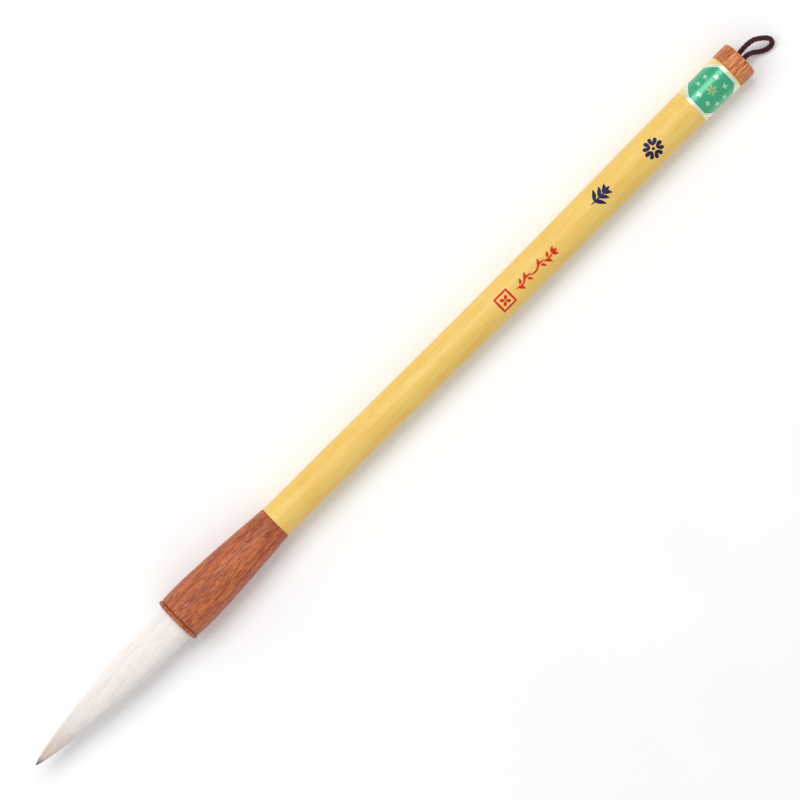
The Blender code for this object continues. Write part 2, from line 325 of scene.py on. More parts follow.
def woodGroup():
    # growth rings round a pith line along x, open pores and fine fibres
    tree, given, result = newGroup(
        "turnedWood",
        [("Vector", "Vector", None), ("Rings per mm", "Float", 0.9), ("Waviness", "Float", 2.0),
         ("Pores per mm", "Float", 3.5)],
        [("Rings", "Float"), ("Pores", "Float"), ("Fibres", "Float")],
    )
    away = add(tree, "VectorMath", {0: scaled(tree, given["Vector"], (0, 1, 1))}, operation="LENGTH")
    wave = noiseOf(tree, scaled(tree, given["Vector"], (0.12, 1, 1)), 0.28, 3.0, 0.55, 0.3)
    ring = maths(tree, "MULTIPLY_ADD", wave, given["Waviness"], away.outputs["Value"])
    growth = maths(tree, "FRACT", times(tree, ring, given["Rings per mm"]))
    late = maths(tree, "POWER", growth, 2.5)
    tree.links.new(minus(tree, 1.0, late), result["Rings"])
    poreShape = scaled(tree, given["Vector"], (0.13, 1, 1))
    pores = noiseOf(tree, poreShape, given["Pores per mm"], 2.0, 0.6, 0.2)
    tree.links.new(between(tree, pores, 0.52, 0.62), result["Pores"])
    tree.links.new(fibresOf(tree, given["Vector"], 0.09, 2.4), result["Fibres"])
    return tree


def blotchGroup():
    # slow, soft changes of tone
    tree, given, result = newGroup(
        "softBlotches",
        [("Vector", "Vector", None), ("Size", "Float", 0.1)],
        [("Amount", "Float")],
    )
    blotch = noiseOf(tree, scaled(tree, given["Vector"], (0.35, 1.0, 1.0)), given["Size"], 3.0, 0.55, 0.3)
    tree.links.new(between(tree, blotch, 0.3, 0.7), result["Amount"])
    return tree


def wearAndShadeGroup():
    # rubbed edges, and dirt with painted shade in hollows, where a surface turns sharply
    tree, given, result = newGroup("rubbedEdgesAndShade", [("Vector", "Vector", None)],
                                   [("Wear", "Float"), ("GrimeAndShade", "Float")])
    sharpness = add(tree, "NewGeometry").outputs["Pointiness"]
    patchy = noiseOf(tree, given["Vector"], 1.6, 3.0, 0.6)
    edge = between(tree, sharpness, 0.52, 0.62)
    tree.links.new(times(tree, edge, between(tree, patchy, 0.35, 0.65)), result["Wear"])
    # hollows are darkened: painted shade, with some dirt
    tree.links.new(between(tree, sharpness, 0.36, 0.47, 1.0, 0.0), result["GrimeAndShade"])
    return tree


fibreLines = fibreGroup()
turnedWood = woodGroup()
softBlotches = blotchGroup()
rubbedEdgesAndShade = wearAndShadeGroup()


# Camera, light and table

view = {
    "height": 1.25,
    "width": 0.2438,  # of the picture, on the table
    "along": 0.1571,  # where on the brush's length the picture's middle is
    "across": -0.0004,
    "turn": radians(-44.96),
}
light = {"keyAngle": radians(27), "keyDistance": 0.9, "keySize": (1.1, 0.45), "keyPower": 4.5, "sky": 0.69}


def makeCamera():
    data = bpy.data.cameras.new("camera")
    data.sensor_width = 36
    data.lens = data.sensor_width * view["height"] / view["width"]
    camera = bpy.data.objects.new("camera", data)
    middle = brush @ Vector((view["along"], view["across"], 0))
    camera.location = middle + Vector((0, 0, view["height"]))
    camera.rotation_euler.z = view["turn"]
    bpy.context.scene.collection.objects.link(camera)
    bpy.context.scene.camera = camera


def softbox(name, angle, distance, size, power):
    # hangs over the brush's middle, turned about the brush's length from straight above
    data = bpy.data.lights.new(name, "AREA")
    data.shape = "RECTANGLE"
    data.size, data.size_y = size
    data.energy = power
    lamp = bpy.data.objects.new(name, data)
    lamp.location = (0, sin(angle) * distance, cos(angle) * distance)
    lamp.rotation_euler.x = -angle
    bpy.context.scene.collection.objects.link(lamp)


def makeLight():
    softbox("keySoftbox", light["keyAngle"], light["keyDistance"], light["keySize"], light["keyPower"])
    world = bpy.data.worlds.new("studio")
    world.use_nodes = True
    world.node_tree.nodes["Background"].inputs["Color"].default_value = (1, 1, 1, 1)
    world.node_tree.nodes["Background"].inputs["Strength"].default_value = light["sky"]
    bpy.context.scene.world = world
    bpy.context.scene.view_settings.view_transform = "Standard"


def makeTable():
    shape = bmesh.new()
    bmesh.ops.create_grid(shape, x_segments=1, y_segments=1, size=2.5)
    look, tree, shader = newMaterial("paleTable", Roughness=0.9)
    grain = noiseOf(tree, millimetres(tree), 0.02, 2.0)
    colour = mix(tree, between(tree, grain, 0.3, 0.7), (0.945, 0.945, 0.945), (0.965, 0.965, 0.965))
    plug(tree, shader, {"Base Color": colour})
    table = bpy.data.objects.new("table", meshOf("table", shape))
    table.data.materials.append(look)
    bpy.context.scene.collection.objects.link(table)


makeCamera()
makeLight()
makeTable()
print("camera, light and table done")


# Hanging loop: three strands laid together, both legs running down to the knot inside the shaft

loop = {
    "width": 0.0017,
    "strands": 3,
    "plump": 0.295,  # a strand's radius, as a share of the cord's width: they press into each other
    "layLength": 0.0042,  # one full turn of the strands
    "wander": 0.06,  # how unevenly they lie, as a share
    "sides": 12,
    "yarnsRound": 5.0,
    "yarnTurns": 90.0,
    "step": 0.0002,
    "pathEvery": 5,
    "length": 0.056,
    "bend": (0.0006, 0.0096),  # where it starts and ends its bend as it lifts, beyond the cap's face
    # from leg to leg: along the brush beyond the cap's face, then sideways and up
    "route": (
        (-0.0040, 0.00112, 0.00030), (-0.0010, 0.00112, 0.00030), (0.0015, 0.00140, 0.00035),
        (0.0042, 0.00150, 0.00025), (0.0068, 0.00105, -0.00010), (0.0088, -0.00015, -0.00090),
        (0.0103, -0.00140, -0.00210), (0.0110, -0.00260, -0.00350), (0.0106, -0.00360, -0.00460),
        (0.0093, -0.00390, -0.00515), (0.0076, -0.00350, -0.00525), (0.0060, -0.00265, -0.00485),
        (0.0045, -0.00165, -0.00390), (0.0028, -0.00095, -0.00250), (0.0011, -0.00075, -0.00135),
        (-0.0010, -0.00075, -0.00075), (-0.0040, -0.00075, -0.00075),
    ),
}


def cordMaterial(name, fromUv):
    look, tree, shader = newMaterial(name, Sheen_Weight=0.03, Specular_IOR_Level=0.22)
    if fromUv:
        spot = add(tree, "UVMap", uv_map="UVMap").outputs["UV"]
        x, y = add(tree, "SeparateXYZ", {0: spot}).outputs[:2]
        yarn = weighted(tree, (x, loop["yarnsRound"]), (y, loop["yarnTurns"]))
        yarnShadeStripes = between(tree, maths(tree, "SINE", times(tree, yarn, 2 * pi)), -1.0, 1.0)
    else:
        yarnShadeStripes = noiseOf(tree, scaled(tree, millimetres(tree), (6.0, 1.5, 1.5)), 1.0, 2.0)
    where = restMillimetres(tree) if fromUv else millimetres(tree)
    fuzz = noiseOf(tree, where, 5.0, 3.0, 0.7)
    tone = weighted(tree, (yarnShadeStripes, 0.55), (fuzz, 0.45))
    # yarn lines darker in their valleys and lighter on their crests: painted shade and painted highlight, mixed
    # with the yarn's own uneven tone
    colour = ramp(tree, tone, [(0.2, (0.008, 0.0008, 0.0015)), (0.5, (0.034, 0.003, 0.006)),
                               (0.8, (0.155, 0.016, 0.026))])
    rough = between(tree, fuzz, 0.3, 0.7, 0.45, 0.7)
    plug(tree, shader, {"Base Color": colour, "Roughness": rough, "Normal": bump(tree, tone, 0.00005)})
    return look


def makeLoop():
    route = smoothCurve(loop["route"], 6)
    inside = span("hanging_loop")[0] - capEnd
    legs = [[Vector((inside, end.y, end.z))] for end in (route[0], route[-1])]
    points, length = evenly([*legs[0], *route, *legs[1]], loop["step"])
    print("cord's centreline", round(length, 5), "m")
    points = [point + Vector((capEnd, 0, 0)) for point in points]
    strandRadius = loop["width"] * loop["plump"]
    offset = loop["width"] / 2 - strandRadius
    across = Vector((0, 1, 0))
    lines = [[] for strand in range(loop["strands"])]
    for number, point in enumerate(points):
        ahead = points[min(number + 1, len(points) - 1)] - points[max(number - 1, 0)]
        ahead.normalize()
        across = (across - ahead * across.dot(ahead)).normalized()
        other = ahead.cross(across)
        for strand, line in enumerate(lines):
            phase = 2 * pi * (number * loop["step"] / loop["layLength"] + strand / loop["strands"])
            wander = 1 + loop["wander"] * noise.noise(Vector((number * 0.09, strand * 7, 0)))
            line.append((point + (across * cos(phase) + other * sin(phase)) * offset * wander, wander))
    mesh = tubes("hanging_cord", lines, strandRadius * 2, loop["sides"])
    cord = finish(mesh, cordMaterial("maroonCord", True), 60)
    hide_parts("hanging_loop")
    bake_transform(cord)


makeLoop()
print("hanging loop done")


# Ferrule: a bead at the mouth, a groove behind it, then a body that tapers to the shaft

ferrule = {
    "wall": 0.00121,
    "chamfer": 0.0003,
    "beadLength": 0.0012,
    "beadRounding": 0.0005,
    "grooveLength": 0.00042,
    "grooveDepth": 0.00042,
    "grooveFloor": 0.00016,
    "shoulder": 0.00018,
    "shoulderStep": 0.00005,
    "edge": 0.0002,
    "steps": 160,
    # share of the body's length, share of the rise from back to full radius
    "shape": ((0, 0.93), (0.12, 1), (0.3, 0.9), (0.5, 0.71), (0.75, 0.38), (1, 0)),
    "socketDepth": 0.0163,
}


def woodMaterial(name, look, colours, figure):
    material, tree, shader = newMaterial(name, Coat_Weight=look["coat"], Coat_Roughness=0.35)
    place = millimetres(tree)
    placed = add(tree, "Mapping", {"Vector": place, "Location": look["move"], "Rotation": look["rotate"]})
    grain = useGroup(tree, turnedWood, {"Vector": placed.outputs[0], **figure})
    blotch = useGroup(tree, softBlotches, {"Vector": place, "Size": 0.16})["Amount"]
    blotchShare = 1 - look["ringShare"] - look["fibreShare"]
    tone = weighted(tree, (grain["Rings"], look["ringShare"]), (grain["Fibres"], look["fibreShare"]),
                    (blotch, blotchShare))
    colour = ramp(tree, tone, [(0.28, colours[0]), (0.52, colours[1]), (0.78, colours[2])])
    poreColour = mix(tree, times(tree, grain["Pores"], look["poreDepth"]), colour, colours[3])
    edges = useGroup(tree, rubbedEdgesAndShade, {"Vector": place})
    worn = mix(tree, times(tree, edges["Wear"], 0.6), poreColour, colours[4])
    grimeAndShade = edges["GrimeAndShade"]
    if "groove" in look:
        # the turned groove is darkened all round: a burnt line, with painted shade in the groove
        along = add(tree, "SeparateXYZ", {0: restMillimetres(tree)}).outputs[0]
        low, high = look["groove"]
        off = maths(tree, "ABSOLUTE", minus(tree, along, (low + high) / 2))
        grooveStainAndShade = between(tree, off, (high - low) * 0.4, (high - low) * 0.7, 1.0, 0.0)
        grimeAndShade = maths(tree, "MAXIMUM", grimeAndShade, grooveStainAndShade)
    # dirt and painted shade in hollows and in the groove, in the pores' dark colour
    grimyAndShaded = mix(tree, times(tree, grimeAndShade, 0.8), worn, colours[3])
    rough = between(tree, grain["Fibres"], 0.0, 1.0, 0.4, 0.52)
    rough = maths(tree, "MULTIPLY_ADD", grain["Pores"], 0.2, rough)
    height = weighted(tree, (grain["Fibres"], 0.35), (grain["Pores"], -1.0))
    plug(tree, shader, {"Base Color": grimyAndShaded, "Roughness": rough, "Normal": bump(tree, height, 0.00004)})
    return material


def makeFerrule():
    beadRadius = radiusNear("ferrule", mouth + ferrule["beadLength"])
    bodyStart = mouth + ferrule["beadLength"] + ferrule["grooveLength"]
    backEdge = ferruleEnd - ferrule["edge"]
    back = radiusNear("ferrule", backEdge)
    fullAt = bodyStart + ferrule["shape"][1][0] * (backEdge - bodyStart)
    rise = radiusNear("ferrule", fullAt, 0.001) - back
    body = [(bodyStart + x * (backEdge - bodyStart), back + y * rise) for x, y in ferrule["shape"]]
    body = smoothLine(body, 14)
    socket = beadRadius - ferrule["wall"]
    spigotEnd = span("ferrule")[1]
    spigot = radiusNear("ferrule", spigotEnd - ferrule["edge"])
    floorAt = mouth + ferrule["socketDepth"]
    chamfer, edge, shoulder = ferrule["chamfer"], ferrule["edge"], ferrule["shoulder"]
    beadEnd = mouth + ferrule["beadLength"]
    grooveMiddle = beadEnd + ferrule["grooveLength"] / 2
    grooveRadius = beadRadius - ferrule["grooveDepth"]
    outline = [
        (floorAt, 0), (floorAt, socket), (mouth + chamfer, socket), (mouth, socket + chamfer),
        *rounding(mouth, beadRadius, ferrule["beadRounding"], -1),
        *rounding(beadEnd, beadRadius, ferrule["beadRounding"] * 0.6, 1),
        (grooveMiddle - ferrule["grooveFloor"] / 2, grooveRadius),
        (grooveMiddle + ferrule["grooveFloor"] / 2, grooveRadius),
        (bodyStart, body[0][1] - shoulder),
        (bodyStart + ferrule["shoulderStep"], body[0][1] - shoulder * 0.35),
        *[point for point in body if point[0] > bodyStart + shoulder],
        (ferruleEnd - edge * 0.35, back - edge * 0.35), (ferruleEnd, back - edge),
        (ferruleEnd, spigot), (spigotEnd - edge, spigot), (spigotEnd, spigot - edge), (spigotEnd, 0),
    ]
    look = woodMaterial(
        "ferruleWood",
        {"coat": 0.06, "move": (0.0, 1.5, 5.6), "rotate": (0.0, -0.045, 0.01), "ringShare": 0.3,
         "fibreShare": 0.42, "poreDepth": 0.6, "groove": (beadEnd * 1000, bodyStart * 1000)},
        [(0.255, 0.041, 0.010), (0.41, 0.081, 0.018), (0.60, 0.17, 0.05), (0.14, 0.022, 0.007),
         (0.70, 0.25, 0.09)],
        {"Rings per mm": 0.95, "Waviness": 2.4, "Pores per mm": 3.2},
    )
    piece = finish(meshOf("turned_ferrule", turn(outline, ferrule["steps"])), look)
    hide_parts("ferrule")
    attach(piece, "handle")


makeFerrule()
print("ferrule done")


# Shaft: one straight length of bamboo between two joints, very slightly bowed and never quite round

shaft = {
    "bore": 0.0037,
    "bow": 0.00055,
    "edge": 0.00012,
    "stations": 150,
    "steps": 144,
    "outOfRound": 0.00004,
    "ridges": 0.000012,
    "low": radiusNear("bamboo_shaft", shaftStart, 0.001),
    "top": radiusNear("bamboo_shaft", shaftEnd, 0.001),
}


def shaftRadius(along):
    return shaft["low"] + (shaft["top"] - shaft["low"]) * (along - shaftStart) / (shaftEnd - shaftStart)


def shaftMiddle(along):
    # the bow is sideways, towards -y
    share = (along - shaftStart) / (shaftEnd - shaftStart)
    return -shaft["bow"] * sin(pi * share) ** 2


def bambooMaterial():
    look, tree, shader = newMaterial("bambooSkin", Coat_Weight=0.06, Coat_Roughness=0.35)
    place = millimetres(tree)
    fine = fibresOf(tree, place, 0.05, 2.4)
    broad = fibresOf(tree, place, 0.012, 0.55, 2.0)
    blotch = useGroup(tree, softBlotches, {"Vector": place, "Size": 0.22})["Amount"]
    tone = weighted(tree, (fine, 0.38), (broad, 0.27), (blotch, 0.35))
    skin = ramp(tree, tone, [(0.15, (0.755, 0.435, 0.074)), (0.5, (0.79, 0.522, 0.112)),
                             (0.85, (0.82, 0.585, 0.165))])
    # tiny brown flecks, longer than wide
    drawn = scaled(tree, place, (0.6, 1.0, 1.0))
    cells = add(tree, "TexVoronoi", {"Vector": drawn, "Scale": 0.11, "Randomness": 1.0})
    fleck = between(tree, cells.outputs["Distance"], 0.016, 0.03, 1.0, 0.0)
    flecked = mix(tree, times(tree, fleck, 0.75), skin, (0.32, 0.10, 0.03))
    rough = between(tree, fine, 0.0, 1.0, 0.38, 0.5)
    raised = bump(tree, minus(tree, fine, fleck), 0.000018)
    plug(tree, shader, {"Base Color": flecked, "Roughness": rough, "Normal": raised})
    return look


def makeShaft():
    edge = shaft["edge"]
    start, end = ferruleEnd + hairline, capStart - hairline
    first, last = start + edge, end - edge
    count = shaft["stations"]
    stations = [first + (last - first) * step / count for step in range(count + 1)]
    outline = [
        (start, shaftRadius(start) - edge),
        *[(along, shaftRadius(along)) for along in stations],
        (end, shaftRadius(end) - edge),
        (end, shaft["bore"]),
        *[(along, shaft["bore"]) for along in reversed(stations[5:-5:8])],
        (start, shaft["bore"]),
    ]
    shape = turn([*outline, outline[0]], shaft["steps"])
    for vert in shape.verts:
        co = vert.co
        if hypot(co.y, co.z) > shaft["bore"] * 1.1:
            outward = Vector((co.y, co.z)).normalized()
            oval = noise.noise(Vector((co.x * 25, outward.x * 0.9, outward.y * 0.9)))
            ridge = noise.noise(Vector((co.x * 9, outward.x * 9, outward.y * 9)))
            grow = 1 + (shaft["outOfRound"] * oval + shaft["ridges"] * ridge) / shaft["low"]
            co.y *= grow
            co.z *= grow
        co.y += shaftMiddle(co.x)
    piece = finish(meshOf("bamboo_stem", shape), bambooMaterial())
    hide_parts("bamboo_shaft")
    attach(piece, "handle")


makeShaft()
print("shaft done")


# End cap: a turned plug with a countersunk hole for the cord

cap = {
    "rounding": 0.0008,
    "lowEdge": 0.00012,
    "bulge": 0.00002,
    "bulgeAt": 0.0026,
    "countersink": 0.0006,
    "edge": 0.0002,
    "steps": 160,
}


def makeCap():
    low = radiusNear("end_cap", capStart)
    high = radiusNear("end_cap", capEnd - cap["rounding"])
    spigotEnd = span("end_cap")[0]
    spigot = radiusNear("end_cap", spigotEnd + cap["edge"])
    places = [toBrush @ vert.co for vert in frame["nodes"]["end_cap"].data.vertices]
    hole = min(hypot(co.y, co.z) for co in places) * cadFlats
    edge, sink = cap["lowEdge"], cap["countersink"]
    side = [(capStart + edge, low), (capStart + cap["bulgeAt"], (low + high) / 2 + cap["bulge"])]
    outline = [
        (spigotEnd, hole), (spigotEnd, spigot - cap["edge"]), (spigotEnd + cap["edge"], spigot),
        (capStart, spigot), (capStart, low - edge), (capStart + edge * 0.3, low - edge * 0.3),
        *side, *rounding(capEnd, high, cap["rounding"], 1, 8),
        (capEnd, (high - cap["rounding"] + hole + sink) / 2),
        (capEnd, hole + sink), (capEnd - sink * 0.25, hole + sink * 0.4), (capEnd - sink, hole),
        ((capEnd + spigotEnd) / 2, hole),
    ]
    look = woodMaterial(
        "capWood",
        {"coat": 0.03, "move": (0.0, 7.0, 1.0), "rotate": (0.0, 0.02, 0.03), "ringShare": 0.35,
         "fibreShare": 0.45, "poreDepth": 0.6},
        [(0.32, 0.055, 0.010), (0.51, 0.128, 0.029), (0.75, 0.30, 0.095), (0.18, 0.028, 0.007),
         (0.76, 0.33, 0.12)],
        {"Rings per mm": 0.8, "Waviness": 1.6, "Pores per mm": 2.4},
    )
    piece = finish(meshOf("turned_cap", turn([*outline, outline[0]], cap["steps"])), look)
    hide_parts("end_cap")
    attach(piece, "handle")


makeCap()
print("end cap done")


# Foil label: a sheet with rounded corners, wrapped round the shaft with its open side underneath

label = {
    "facets": 21,  # flats of the shaft that it covers
    "turnFacets": 1,  # flats that it is turned by, towards -y
    "corner": 0.0009,
    "thickness": 0.00007,
    "stands": 0.00003,  # off the shaft
    "lift": 0.00012,  # where its long edges come away a little
    "liftFrom": 0.9,  # share of the way to those edges
    "strips": 96,
    "rings": 24,
    "fieldTurn": radians(8),  # of the printed field, towards -y
}
# The printed field, in millimetres: it has eight sides, the slanting ones where these two shares of the
# way along and round add up to the corner's reach
field = {"halfLength": 6.3, "halfWidth": 8.2, "alongShare": 0.83, "aroundShare": 0.56, "corner": 7.2,
         "flowers": 8, "ringRadius": 5.0, "ringSquash": 1.25}


def layOnShaft(shape):
    # bends a flat shape (x along the brush, y round it towards -y from the top, z outwards)
    for vert in shape.verts:
        along, arc, height = vert.co
        turnBy = arc / shaftRadius(along)
        radius = shaftRadius(along) + height
        vert.co = (along, shaftMiddle(along) - radius * sin(turnBy), radius * cos(turnBy))


def lengthOf(tree, x, y):
    return maths(tree, "SQRT", maths(tree, "ADD", maths(tree, "POWER", x, 2.0), maths(tree, "POWER", y, 2.0)))


def flowerMask(tree, x, y, size, petals):
    # 1 inside a small flower whose middle is at x = y = 0
    away = lengthOf(tree, x, y)
    lobes = maths(tree, "COSINE", times(tree, maths(tree, "ARCTAN2", y, x), petals))
    rim = maths(tree, "MULTIPLY_ADD", lobes, 0.32 * size, 0.68 * size)
    return between(tree, minus(tree, away, rim), -0.06, 0.1, 1.0, 0.0)


def foilMaterial():
    look, tree, shader = newMaterial("printedFoil", Coat_Weight=1.0, Coat_Roughness=0.2, Coat_IOR=1.58)
    spot = scaled(tree, add(tree, "UVMap", uv_map="printed").outputs["UV"], (1000, 1000, 1000))
    x, y = add(tree, "SeparateXYZ", {0: spot}).outputs[:2]
    along, around = maths(tree, "ABSOLUTE", x), maths(tree, "ABSOLUTE", y)
    # how far outside the field's eight sides a point is
    sides = maths(tree, "MAXIMUM", minus(tree, along, field["halfLength"]),
                  minus(tree, around, field["halfWidth"]))
    corners = weighted(tree, (along, field["alongShare"]), (around, field["aroundShare"]))
    outside = maths(tree, "MAXIMUM", sides, minus(tree, corners, field["corner"]))
    green, deepGreen = (0.004, 0.37, 0.165), (0.01, 0.24, 0.10)
    pale, gold = (0.86, 0.88, 0.76), (0.82, 0.69, 0.28)
    stops = [(0.0, green), (0.25, deepGreen), (0.28, pale), (0.375, deepGreen), (0.40, pale), (0.50, gold)]
    base = ramp(tree, between(tree, outside, -1.0, 3.0), stops, "CONSTANT")
    # a ring of small flowers round a larger one, printed a little thinly
    stretched = times(tree, x, field["ringSquash"])
    angle = maths(tree, "ARCTAN2", y, stretched)
    away = lengthOf(tree, stretched, y)
    flowerTurn = 2 * pi / field["flowers"]
    share = maths(tree, "FRACT", times(tree, angle, 1 / flowerTurn))
    aside = times(tree, minus(tree, share, 0.5), flowerTurn * field["ringRadius"])
    ring = flowerMask(tree, aside, minus(tree, away, field["ringRadius"]), 1.0, 4)
    middle = flowerMask(tree, x, y, 1.7, 6)
    heart = flowerMask(tree, x, y, 0.75, 6)
    middle = minus(tree, middle, times(tree, heart, 0.8))
    where = millimetres(tree)
    thin = between(tree, noiseOf(tree, where, 1.6, 3.0, 0.6), 0.35, 0.6, 0.25, 0.8)
    colour = mix(tree, times(tree, ring, thin), base, (0.72, 0.86, 0.72))
    colour = mix(tree, times(tree, middle, thin), colour, (0.66, 0.60, 0.18))
    metal = between(tree, outside, 0.0, 1.2, 0.3, 0.6)
    rough = between(tree, noiseOf(tree, where, 2.0, 3.0), 0.3, 0.7, 0.26, 0.4)
    wrinkle = noiseOf(tree, where, 0.45, 2.0, 0.5)
    raised = bump(tree, weighted(tree, (wrinkle, 1.0), (maths(tree, "MAXIMUM", ring, middle), 0.05)), 0.00012)
    plug(tree, shader, {"Base Color": colour, "Metallic": metal, "Roughness": rough, "Normal": raised})
    return look


def makeLabel():
    start, end = span("foil_label")
    middle, halfLength = (start + end) / 2, (end - start) / 2
    radius = shaftRadius(middle)
    facet = 2 * pi / cadSides * radius
    halfWrap = label["facets"] * facet / 2
    turned = label["turnFacets"] * facet
    shape = bmesh.new()
    bmesh.ops.create_grid(shape, x_segments=1, y_segments=1, size=1)
    bmesh.ops.scale(shape, vec=(halfLength, halfWrap, 1), verts=shape.verts)
    bmesh.ops.bevel(shape, geom=shape.verts[:], offset=label["corner"], offset_type="OFFSET", segments=6,
                    profile=0.5, affect="VERTICES", material=-1)
    for count, half, side in ((label["strips"], halfWrap, Vector((0, 1, 0))),
                              (label["rings"], halfLength, Vector((1, 0, 0)))):
        for cut in range(1, count):
            bmesh.ops.bisect_plane(shape, geom=shape.verts[:] + shape.edges[:] + shape.faces[:],
                                   dist=1e-7, plane_co=side * half * (2 * cut / count - 1), plane_no=side)
    bmesh.ops.recalc_face_normals(shape, faces=shape.faces)
    bmesh.ops.solidify(shape, geom=shape.faces[:], thickness=label["thickness"])
    lowest = min(vert.co.z for vert in shape.verts)
    printed = shape.loops.layers.uv.new("printed")
    fieldMiddle = label["fieldTurn"] * radius - turned
    for face in shape.faces:
        for corner in face.loops:
            co = corner.vert.co
            corner[printed].uv = (co.x, co.y - fieldMiddle)
    for vert in shape.verts:
        edgeShare = max(0, abs(vert.co.y) / halfWrap - label["liftFrom"]) / (1 - label["liftFrom"])
        vert.co.z += label["stands"] - lowest + label["lift"] * edgeShare**2
    bmesh.ops.translate(shape, verts=shape.verts, vec=(middle, turned, 0))
    layOnShaft(shape)
    bmesh.ops.recalc_face_normals(shape, faces=shape.faces)
    piece = finish(meshOf("label_sheet", shape), foilMaterial(), 50)
    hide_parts("foil_label")
    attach(piece, "handle")


makeLabel()
print("foil label done")


# Printed ornaments on the bamboo, built up from brush dabs: films of ink two hundredths of a millimetre proud

ink = {
    "film": 0.00003,
    "sunk": 0.000012,
    "step": 0.00000001,  # each dab lies this much higher than the last
    "segments": (26, 4),
}


def dab(shape, at, angle, length, width, bend=0.0, taper=0.0, blunt=0.6):
    # one touch of a brush, at (along, round the shaft), pointing along the shaft and turned by angle
    lift = len(shape.faces) * ink["step"]
    columns, rows = ink["segments"]
    made = bmesh.ops.create_grid(shape, x_segments=columns, y_segments=rows, size=1)["verts"]
    for vert in made:
        x, y = vert.co.x, vert.co.y
        half = width / 2 * max(0.0, 1 - x * x) ** blunt * (1 + taper * x)
        vert.co = (x * length / 2, y * half + bend * (1 - x * x), 0)
    bmesh.ops.rotate(shape, verts=made, cent=(0, 0, 0), matrix=Matrix.Rotation(angle, 3, "Z"))
    bmesh.ops.translate(shape, verts=made, vec=(*at, lift))


def spotFrom(at, angle, reach):
    return at[0] + cos(angle) * reach, at[1] + sin(angle) * reach


def leaf(shape, root, angle, reach, size, bend=0.0, taper=-0.3, blunt=0.8):
    # a dab that points away from the root, its middle at that reach
    dab(shape, spotFrom(root, angle, reach), angle, *size, bend, taper, blunt)


blossomSizes = {
    "petals": 5,
    "turn": 0.3,
    "reach": 0.00215,
    "apart": 0.25,  # each dab's place, turned off the petal's middle
    "splay": 0.42,  # and its own turn
    "bend": 0.00012,
    "petal": (0.0025, 0.00118),
    "middle": (0.0010, 0.0010),
}


def blossom(shape, at):
    # five petals, each of two dabs side by side, round a small middle
    for petal in range(blossomSizes["petals"]):
        angle = 2 * pi * petal / blossomSizes["petals"] + blossomSizes["turn"]
        for side in (-1, 1):
            spot = spotFrom(at, angle + side * blossomSizes["apart"], blossomSizes["reach"])
            dab(shape, spot, angle + side * blossomSizes["splay"], *blossomSizes["petal"],
                side * blossomSizes["bend"], 0.4, 0.5)
    dab(shape, at, 0, *blossomSizes["middle"], blunt=0.5)


sprigSizes = {
    "stem": (0.0068, 0.00062),
    # each pair's place, length and angle
    "pairs": ((-0.0021, 0.0040, 0.95), (-0.0002, 0.0035, 0.83), (0.0016, 0.0030, 0.71)),
    "leafWidth": 0.00125,
    "lastAt": 0.0034,
    "last": (0.0024, 0.0010),
}


def sprig(shape, at):
    # a stem with three pairs of pointed leaves and one more at its end
    dab(shape, (at[0] - 0.0003, at[1]), 0, *sprigSizes["stem"], 0.0002)
    for place, length, spread in sprigSizes["pairs"]:
        size = (length, sprigSizes["leafWidth"])
        for side in (-1, 1):
            leaf(shape, (at[0] + place, at[1]), side * spread, length / 2, size, -side * 0.00025, -0.35, 0.85)
    dab(shape, (at[0] + sprigSizes["lastAt"], at[1]), 0, *sprigSizes["last"], 0, -0.3, 0.85)


sealSizes = {"half": 0.0024, "side": (0.0056, 0.00072), "reach": 0.00095, "petal": (0.0016, 0.0010)}


def seal(shape, at):
    # a square frame with a four-petalled flower inside
    for number in range(4):
        angle = pi / 2 * number
        dab(shape, spotFrom(at, angle, sealSizes["half"]), angle + pi / 2, *sealSizes["side"], blunt=0.15)
        leaf(shape, at, angle + pi / 4, sealSizes["reach"], sealSizes["petal"], 0, 0.3, 0.6)


vineSizes = {
    "lengths": 5,
    "bare": 2,  # the length without leaves
    "apart": 0.0029,
    "stem": (0.0042, 0.0006),
    "stemMiddle": 0.0016,
    "wave": 0.00045,
    "spread": 0.95,
    # of each leaf: its place, its side, its reach and its size
    "leaves": ((0.0004, 1, 0.0013, (0.0027, 0.0010)), (0.0013, -1, 0.0011, (0.0020, 0.00085))),
    "leafBend": 0.0002,
    "sprayAt": 0.0150,
    "sprayAngles": (-0.8, 0.0, 0.8),
    "sprayLeaf": (0.0022, 0.0010),
}


def vine(shape, at):
    # a waving stem with leaves on both sides, and a spray of leaves at its end
    for number in range(vineSizes["lengths"]):
        side = 1 - number % 2 * 2
        x, y = at[0] + vineSizes["apart"] * number, at[1]
        dab(shape, (x + vineSizes["stemMiddle"], y), 0, *vineSizes["stem"], side * vineSizes["wave"], 0.2)
        if number == vineSizes["bare"]:
            continue
        for place, leafSide, reach, size in vineSizes["leaves"]:
            angle = side * leafSide * vineSizes["spread"]
            leaf(shape, (x + place, y), angle, reach, size, -side * leafSide * vineSizes["leafBend"])
    for angle in vineSizes["sprayAngles"]:
        leaf(shape, (at[0] + vineSizes["sprayAt"], at[1]), angle, 0.0011, vineSizes["sprayLeaf"])


def inkMaterial(name, colour, thin):
    look, tree, shader = newMaterial(name, Specular_IOR_Level=0.25)
    place = millimetres(tree)
    fibres = fibresOf(tree, place, 0.02, 3.0)
    worn = between(tree, noiseOf(tree, place, 2.5, 3.0), 0.35, 0.75)
    share = times(tree, times(tree, fibres, worn), 0.45)
    plug(tree, shader, {
        "Base Color": mix(tree, share, colour, thin),
        "Roughness": between(tree, fibres, 0.0, 1.0, 0.42, 0.56),
        "Normal": bump(tree, fibres, 0.00001),
    })
    return look


